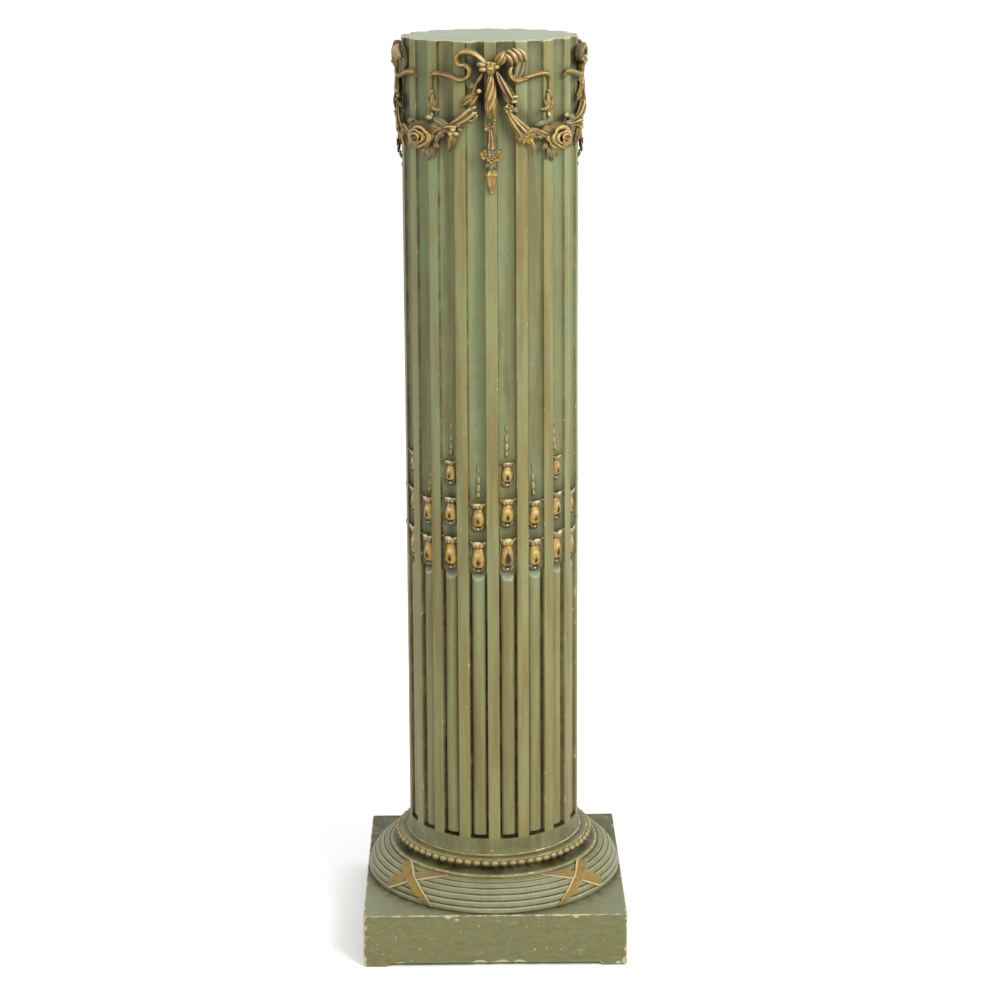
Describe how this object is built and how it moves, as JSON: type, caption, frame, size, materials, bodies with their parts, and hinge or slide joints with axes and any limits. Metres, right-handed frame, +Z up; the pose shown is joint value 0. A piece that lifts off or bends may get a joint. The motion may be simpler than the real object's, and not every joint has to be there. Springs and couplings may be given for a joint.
{
  "type": "column pedestal",
  "caption": "Painted wooden column pedestal: fluted round shaft with gilt bows and flower swags near the top, reeded base moulding and square plinth on corner pads.",
  "frame": {"origin": "centre of the square footprint, on the floor", "axes": "+Z up along the column; -Y towards the front, where the first ribbon bow is; +X to the viewer's right"},
  "size_m": [0.33, 0.33, 1.14],
  "materials": {
    "green_paint": "old sage green paint, worn and chipped, over wood",
    "gilding": "worn gilding over carved wood and gesso"
  },
  "bodies": {
    "root": {"plinth": "green_paint", "base_moulding": "green_paint", "fluted_shaft": "green_paint", "ribbon_bow_front": "gilding", "ribbon_bow_right": "gilding", "ribbon_bow_back": "gilding", "ribbon_bow_left": "gilding", "flower_swag_from_front": "gilding", "flower_swag_from_right": "gilding", "flower_swag_from_back": "gilding", "flower_swag_from_left": "gilding"}
  },
  "joints": []
}
